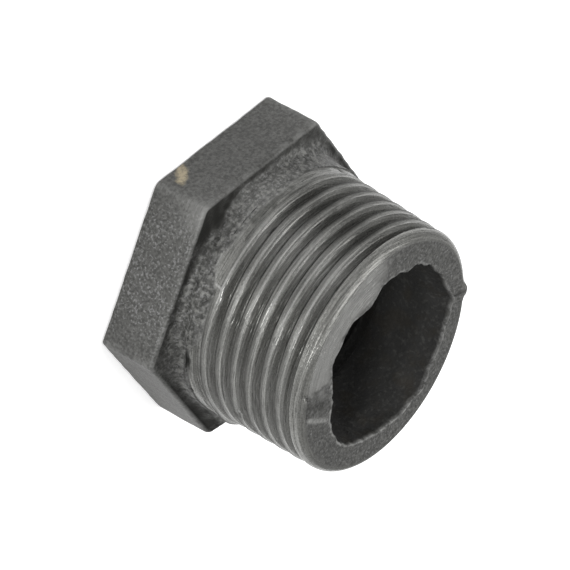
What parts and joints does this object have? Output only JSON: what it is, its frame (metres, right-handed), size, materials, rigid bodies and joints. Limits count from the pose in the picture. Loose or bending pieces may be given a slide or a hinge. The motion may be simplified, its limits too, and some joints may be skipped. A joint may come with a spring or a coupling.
{
  "type": "hex bushing",
  "caption": "Hexagonal reducing bushing for pipework, with a tapered male thread on its shank and a female thread inside its head.",
  "frame": {"origin": "centre of the outer face of the hex head, on which the part stands", "axes": "+Z along the bore axis towards the male threaded end; two flats of the hex face +Y and -Y, two corners point to +X and -X"},
  "size_m": [0.0328, 0.0286, 0.0216],
  "materials": {
    "cast_skin": "black as-cast skin with bright machined thread crests"
  },
  "bodies": {
    "root": {"hex_bushing": "cast_skin"}
  },
  "joints": []
}
